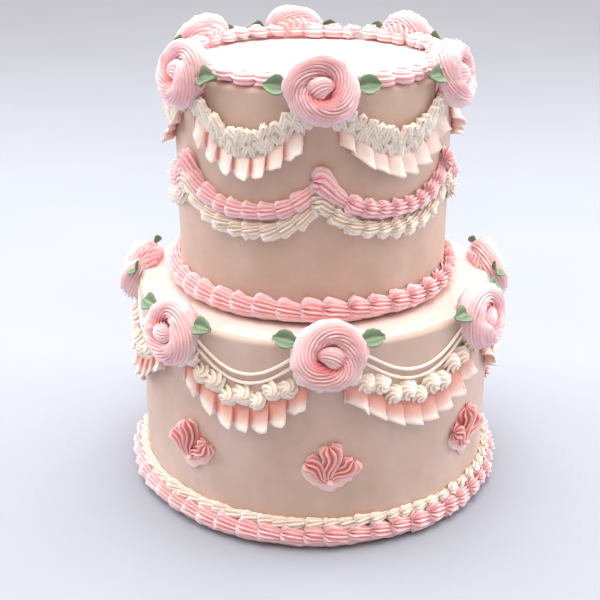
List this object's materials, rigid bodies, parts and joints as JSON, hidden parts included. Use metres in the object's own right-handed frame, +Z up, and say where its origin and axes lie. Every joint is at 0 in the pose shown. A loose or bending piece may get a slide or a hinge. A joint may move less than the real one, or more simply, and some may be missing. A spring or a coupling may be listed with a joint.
{
  "type": "lambeth cake",
  "caption": "Round two-tier lambeth cake, iced in pale blush with piped pink and cream shell borders, draped garlands, ruffles, rosettes and small green leaves.",
  "frame": {"origin": "centre of the lower tier's flat underside", "axes": "+Z up, -Y towards the front, +X to the right as seen from the front"},
  "size_m": [0.2313, 0.2275, 0.2593],
  "materials": {
    "tier_icing": "smoothed buttercream, soft satin",
    "pink_icing": "piped buttercream, soft satin",
    "cream_icing": "piped buttercream, soft satin",
    "ruffle_icing": "piped buttercream, pink at the root and near white at the edge",
    "green_icing": "piped buttercream, soft satin"
  },
  "bodies": {
    "root": {"lower_tier": "tier_icing", "upper_tier": "tier_icing", "base_shells": "pink_icing", "foot_shells": "pink_icing", "rim_swirls": "pink_icing", "pink_chain": "pink_icing", "base_beads": "cream_icing", "upper_scroll": "cream_icing", "cream_chain": "cream_icing", "drop_string_1": "cream_icing", "drop_string_2": "cream_icing", "lower_stars": "cream_icing", "upper_ruffle": "ruffle_icing", "lower_ruffle": "ruffle_icing", "upper_rosette_1": "pink_icing", "upper_rosette_2": "pink_icing", "upper_rosette_3": "pink_icing", "upper_rosette_4": "pink_icing", "upper_rosette_5": "pink_icing", "upper_rosette_6": "pink_icing", "lower_rosette_1": "pink_icing", "lower_rosette_2": "pink_icing", "lower_rosette_3": "pink_icing", "lower_rosette_4": "pink_icing", "lower_rosette_5": "pink_icing", "lower_rosette_6": "pink_icing", "lower_rosette_7": "pink_icing", "motif_1": "pink_icing", "motif_2": "pink_icing", "motif_3": "pink_icing", "motif_4": "pink_icing", "motif_5": "pink_icing", "motif_6": "pink_icing", "motif_7": "pink_icing", "upper_leaf_1_left": "green_icing", "upper_leaf_1_right": "green_icing", "upper_leaf_2_left": "green_icing", "upper_leaf_2_right": "green_icing", "upper_leaf_3_left": "green_icing", "upper_leaf_3_right": "green_icing", "upper_leaf_4_left": "green_icing", "upper_leaf_4_right": "green_icing", "upper_leaf_5_left": "green_icing", "upper_leaf_5_right": "green_icing", "upper_leaf_6_left": "green_icing", "upper_leaf_6_right": "green_icing", "lower_leaf_1_left": "green_icing", "lower_leaf_1_right": "green_icing", "lower_leaf_2_left": "green_icing", "lower_leaf_2_right": "green_icing", "lower_leaf_3_left": "green_icing", "lower_leaf_3_right": "green_icing", "lower_leaf_4_left": "green_icing", "lower_leaf_4_right": "green_icing", "lower_leaf_5_left": "green_icing", "lower_leaf_5_right": "green_icing", "lower_leaf_6_left": "green_icing", "lower_leaf_6_right": "green_icing", "lower_leaf_7_left": "green_icing", "lower_leaf_7_right": "green_icing"}
  },
  "joints": []
}
